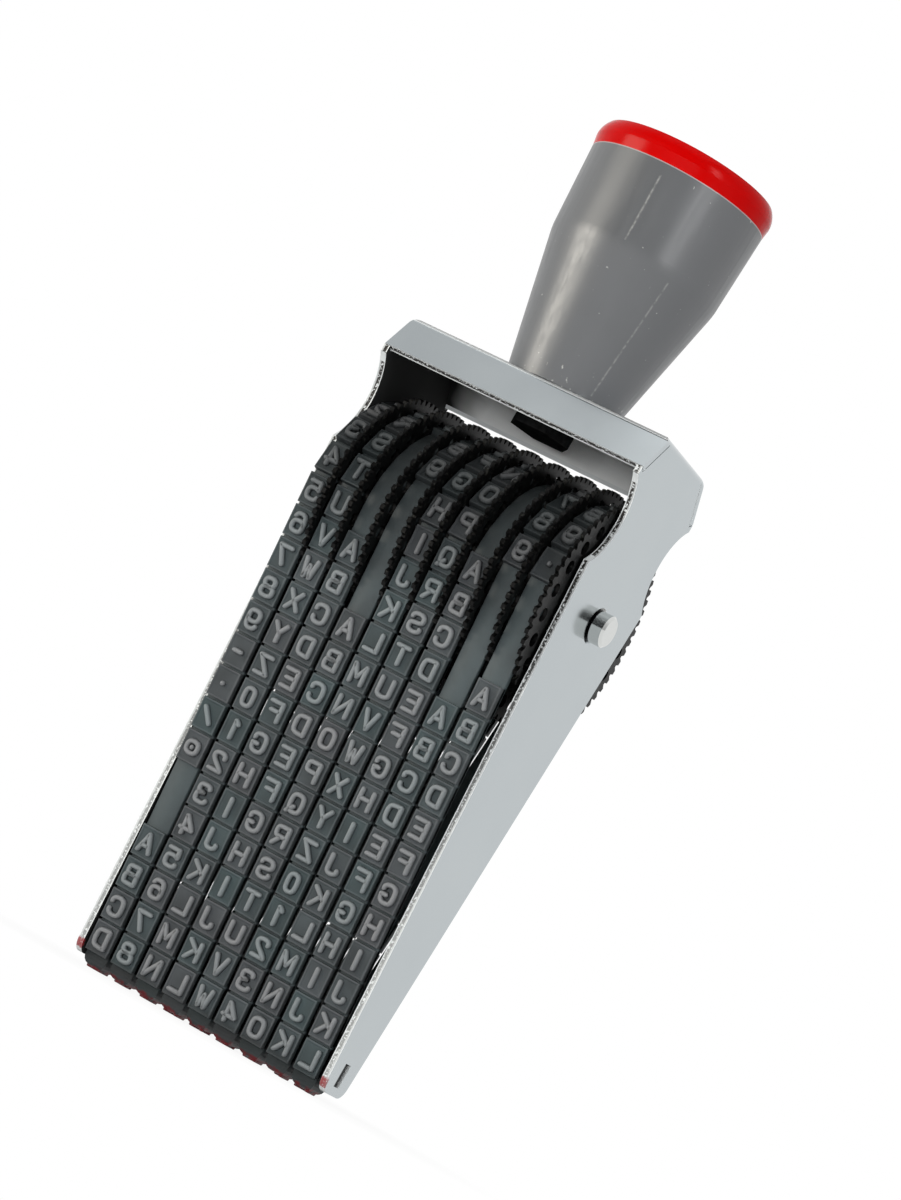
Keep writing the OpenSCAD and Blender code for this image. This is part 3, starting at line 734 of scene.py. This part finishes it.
def moulded(name, node, base, light, rim, rough, scratch, sheen, lines=(), dust="#000000", dusty=0.0):
    """Glossy plastic for a node: a cloudy tone, wavy at a centimetre, with thin marks that run up it.

    The rim is the colour of the topmost edge, where the moulding is rubbed.
    """
    material, tree, shader, place = start_material(name)
    low, high = box_mm(node)
    height = add(tree, "SeparateXYZ", {"Vector": place}).outputs["Z"]
    cloud = add(tree, "TexNoise", {"Vector": place, "Scale": per_mm(WAVE_MM), "Detail": 3.0})
    tone = add(tree, "Mix", {"Factor": cloud, "A": colour(base), "B": colour(light)}, data_type="RGBA")
    top_edge = add(tree, "Math", {0: height, 1: (high[2] - RIM_DEPTH) * MM}, operation="GREATER_THAN")
    edged = add(tree, "Mix", {"Factor": top_edge, "A": tone, "B": colour(rim)}, data_type="RGBA")
    spots = wear(tree, place, low[2], lines, dusty)
    dusted = add(tree, "Mix", {"Factor": spots, "A": edged, "B": colour(dust)}, data_type="RGBA")
    stretched = add(tree, "Mapping", {"Vector": place, "Scale": (1, 1, SCRATCH_STRETCH)})
    marks = add(tree, "TexNoise", {"Vector": stretched, "Scale": per_mm(SCRATCH_MM), "Detail": 4.0})
    haze = add(tree, "MapRange", {
        "Value": marks, "From Min": 0.45, "From Max": 0.75, "To Min": rough, "To Max": rough + scratch})
    ripple = add(tree, "Bump", {"Strength": 0.3, "Distance": 0.12 * MM, "Height": cloud})
    feed(shader, {"Base Color": dusted, "Roughness": haze, "Normal": ripple, "Specular IOR Level": sheen})
    dress(material, node)


moulded("glossy grey ABS", "handle", "#595B5D", "#606265", rim="#A39A99",
        rough=0.34, scratch=0.12, sheen=0.7, lines=GRIP_LINES, dust="#D8D8D2", dusty=0.6)
moulded("glossy red ABS", "handle_cap", "#C20101", "#CA0302", rim="#CC0302",
        rough=0.16, scratch=0.08, sheen=0.05)
print("grip and cap dressed")

# %% [markdown]
# ## Wheels
# The setting wheels are black moulded nylon with a satin skin. Fingers have rubbed the teeth, and paper
# dust shows as pale specks on them. The specks are a noise in the material, because as pieces of their own
# they would be far smaller than a tooth.

# %% Wheel plastic
# Dust and skin are drawn coarser than they are, so that they show.
NYLON, PAPER_DUST = "#060606", "#3C3D39"
DUST_MM, SKIN_MM = 0.6, 0.3


def wheel_nylon():
    """Satin black with a fine grain and sparse pale specks."""
    material, tree, shader, place = start_material("satin black nylon")
    dust = add(tree, "TexNoise", {"Vector": place, "Scale": per_mm(DUST_MM), "Detail": 2.0})
    specks = add(tree, "MapRange", {"Value": dust, "From Min": 0.62, "From Max": 0.72, "To Max": 0.5})
    tone = add(tree, "Mix", {
        "Factor": specks, "A": colour(NYLON), "B": colour(PAPER_DUST)}, data_type="RGBA")
    grain = add(tree, "TexNoise", {"Vector": place, "Scale": per_mm(SKIN_MM), "Detail": 3.0})
    bump = add(tree, "Bump", {"Strength": 0.3, "Distance": 0.04 * MM, "Height": grain})
    feed(shader, {"Base Color": tone, "Normal": bump, "Roughness": 0.36, "Specular IOR Level": 0.14})
    return material


dress(wheel_nylon(), *[f"wheel_{number}" for number in range(1, 10)])
print("wheels dressed")

# %% [markdown]
# ## Steel pieces
# The axle is a turned pin of bright steel, with a thin ring of painted shade where it comes out of the
# plates. The bar at the print end is plain drawn steel painted dark, as shade, so that the slot over it reads
# dark, and the screw is blackened. All three are the same metal in three finishes, so one function with a few
# numbers makes them.

# %% Steel finishes
# The grit is drawn coarser than a drawn or turned surface has it, so that it shows.
PIN_GAP = 0.3
STEEL_GRIT_MM, GRIT_SHADE = 0.8, 0.1
WORN_STEEL, GAP_SHADE = "#8C8E90", "#0B0B0B"


def steel(name, base, rough, metal, gloss, shade_within=0.0):
    """Metal with a faint grit. It is painted black, as shade, nearer to the middle plane than shade_within,
    in mm.
    """
    material, tree, shader, place = start_material(name)
    grit = add(tree, "TexNoise", {"Vector": place, "Scale": per_mm(STEEL_GRIT_MM), "Detail": 4.0})
    shade = add(tree, "MapRange", {"Value": grit, "To Max": GRIT_SHADE})
    tone = add(tree, "Mix", {"Factor": shade, "A": colour(base), "B": colour(WORN_STEEL)}, data_type="RGBA")
    folded = add(tree, "VectorMath", {0: place}, operation="ABSOLUTE")
    from_middle = add(tree, "SeparateXYZ", {"Vector": folded}).outputs["X"]
    shaded_part = add(tree, "Math", {0: from_middle, 1: shade_within * MM}, operation="LESS_THAN")
    gap_shaded = add(tree, "Mix", {"Factor": shaded_part, "A": tone, "B": colour(GAP_SHADE)}, data_type="RGBA")
    spread = add(tree, "MapRange", {"Value": grit, "To Min": rough - 0.05, "To Max": rough + 0.1})
    feed(shader, {"Base Color": gap_shaded, "Roughness": spread, "Metallic": metal, "Specular IOR Level": gloss})
    return material


# Painted shade: the pin is black a short way out of the plates, for the dark gap where it passes through.
pin_shade_within = FRAME_CORNER[0] + PIN_GAP
dress(steel("turned bright steel", "#D2D4D2", 0.1, 1.0, 0.5, pin_shade_within), "axle")
# Painted shade: the bar is painted dark so that the slot in the plate over it reads as a dark recess.
dress(steel("drawn steel painted dark", "#2E2F30", 0.4, 0.6, 0.3), "platen")
dress(steel("blackened steel", "#020202", 0.6, 0.0, 0.0), "handle_screw")
print("steel dressed")

# %% [markdown]
# ## Room, light and camera
# The stamp stands on its print face on a white floor in a white room. The room is white behind the stamp
# and dim in front of it, and gives a soft light. Two lamps are there for their mirror images alone: one low
# on the left draws the bright streak on the lower grip, and one high on the right the second streak above
# it. Three wide fills, left, right and low in front, give light without a mirror image, and a lamp overhead
# does both for the top. With streaks and fills apart, each is set without the other. The camera is low,
# close to the floor, turned on its own axis so that the stamp leans in the picture.

# %% Floor and room
WHITE, FLOOR_GREY = "#FFFFFF", "#E6E6E6"
ROOM_LIGHT = 0.3
DIM_SIDE, DIM_FROM, DIM_TO = 0.08, -0.75, 0.0
FLOOR_SIZE = 3.0
SHADOW_FROM, SHADOW_TO = 5, 50
FLOOR_GLOW = 0.9


def white_room():
    """World that is white to camera, glossy and transmitted rays, and dim in front of the stamp.

    The dim side shows in reflections only: their strength rises with the direction's y from front to back.
    """
    world = bpy.data.worlds.new("white room")
    world.use_nodes = True
    tree = world.node_tree
    tree.nodes.clear()
    ray = add(tree, "LightPath").outputs
    direction = add(tree, "TexCoord").outputs["Generated"]
    backwards = add(tree, "SeparateXYZ", {"Vector": direction}).outputs["Y"]
    mirrored = add(tree, "MapRange", {
        "Value": backwards, "From Min": DIM_FROM, "From Max": DIM_TO, "To Min": DIM_SIDE})
    lit = add(tree, "Mix", {"Factor": ray["Is Glossy Ray"], "A": ROOM_LIGHT, "B": mirrored})
    seen = add(tree, "Math", {0: ray["Is Camera Ray"], 1: ray["Is Transmission Ray"]}, operation="MAXIMUM")
    strength = add(tree, "Math", {0: lit, 1: seen}, operation="MAXIMUM")
    room = add(tree, "Background", {"Color": colour(WHITE), "Strength": strength})
    add(tree, "OutputWorld", {"Surface": room})
    return world


def floor():
    """White floor at the print plane: it keeps the shadow round the stamp and turns white further out."""
    half = FLOOR_SIZE / 2
    corners = [(-half, -half, 0), (half, -half, 0), (half, half, 0), (-half, half, 0)]
    mesh = bpy.data.meshes.new("floor")
    mesh.from_pydata(corners, [], [(0, 1, 2, 3)])
    piece = bpy.data.objects.new("floor", mesh)
    bpy.context.scene.collection.objects.link(piece)
    material, tree, shader, place = start_material("white floor")
    ray = add(tree, "LightPath").outputs
    seen = add(tree, "Math", {0: ray["Is Camera Ray"], 1: ray["Is Glossy Ray"]}, operation="MAXIMUM")
    away = add(tree, "VectorMath", {0: place}, operation="LENGTH")
    far = add(tree, "MapRange", {
        "Value": away, "From Min": SHADOW_FROM * MM, "From Max": SHADOW_TO * MM, "To Min": FLOOR_GLOW})
    lift = add(tree, "Math", {0: seen, 1: far}, operation="MULTIPLY")
    glow = add(tree, "Emission", {"Color": colour(WHITE), "Strength": 1.0})
    both = add(tree, "MixShader", {0: lift, 1: shader, 2: glow})
    add(tree, "OutputMaterial", {"Surface": both}, is_active_output=True)
    feed(shader, {"Base Color": colour(FLOOR_GREY), "Roughness": 1.0, "Specular IOR Level": 0.0})
    mesh.materials.append(material)


bpy.context.scene.world = white_room()
floor()
bpy.context.scene.view_settings.view_transform = "Standard"
print("white room and floor")

# %% Lamps
from mathutils import Matrix, Vector


def soft_lamp(name, place_mm, aim_mm, size_mm, watts, mirrored=True, lights=True, tint="#FFFFFF"):
    """Rectangular lamp at a place, turned to a point of the stamp.

    A mirrored lamp shows in glossy surfaces, and a lamp that lights falls on dull ones.
    """
    lamp = bpy.data.lights.new(name, "AREA")
    lamp.shape, lamp.size, lamp.size_y = "RECTANGLE", size_mm[0] * MM, size_mm[1] * MM
    lamp.energy, lamp.color = watts, colour(tint)[:3]
    holder = bpy.data.objects.new(name, lamp)
    place, aim = Vector(place_mm) * MM, Vector(aim_mm) * MM
    turn = (aim - place).to_track_quat("-Z", "Y").to_matrix().to_4x4()
    holder.matrix_world = Matrix.Translation(place) @ turn
    holder.visible_glossy, holder.visible_diffuse = mirrored, lights
    bpy.context.scene.collection.objects.link(holder)


soft_lamp("left strip", (-470, -370, 75), (0, 0, 90), (300, 150), 1.9, lights=False, tint="#FFF9EC")
soft_lamp("left fill", (-440, -420, 150), (0, 0, 90), (900, 600), 2.9, mirrored=False, tint="#FFFBF2")
soft_lamp("right strip", (475, -340, 370), (0, 0, 130), (110, 420), 1.5, lights=False)
soft_lamp("right fill", (540, -220, 230), (0, 0, 90), (300, 300), 0.7, mirrored=False)
soft_lamp("overhead", (0, -120, 620), (0, 0, 60), (420, 420), 0.3)
soft_lamp("low front fill", (110, -560, 62), (0, 0, 70), (460, 120), 1.35, mirrored=False)
print("six lamps")

# %% Camera
CAMERA_AT = np.array([224.95, -496.63, 9.80])
LOOKS_AT = np.array([0.50, 0.23, 67.11])
ROLL = math.radians(-29.57)
LENS, SENSOR = 121.19, 36.0
NEAR, FAR = 0.01, 20.0


def portrait_camera():
    """Camera at a place, looking at a point and rolled about its line of sight."""
    sight = (LOOKS_AT - CAMERA_AT) / np.linalg.norm(LOOKS_AT - CAMERA_AT)
    upright = np.array([0, 0, 1]) - sight[2] * sight
    upright /= np.linalg.norm(upright)
    up = math.cos(ROLL) * upright + math.sin(ROLL) * np.cross(sight, upright)
    data = bpy.data.cameras.new("portrait")
    data.sensor_fit, data.sensor_height, data.sensor_width = "VERTICAL", SENSOR, SENSOR
    data.lens, data.clip_start, data.clip_end = LENS, NEAR, FAR
    camera = bpy.data.objects.new("portrait", data)
    axes = np.eye(4)
    axes[:3, :3] = np.stack([np.cross(sight, up), up, -sight], 1)
    axes[:3, 3] = CAMERA_AT * MM
    camera.matrix_world = Matrix(axes.tolist())
    bpy.context.scene.collection.objects.link(camera)
    bpy.context.scene.camera = camera


portrait_camera()
print("camera set")
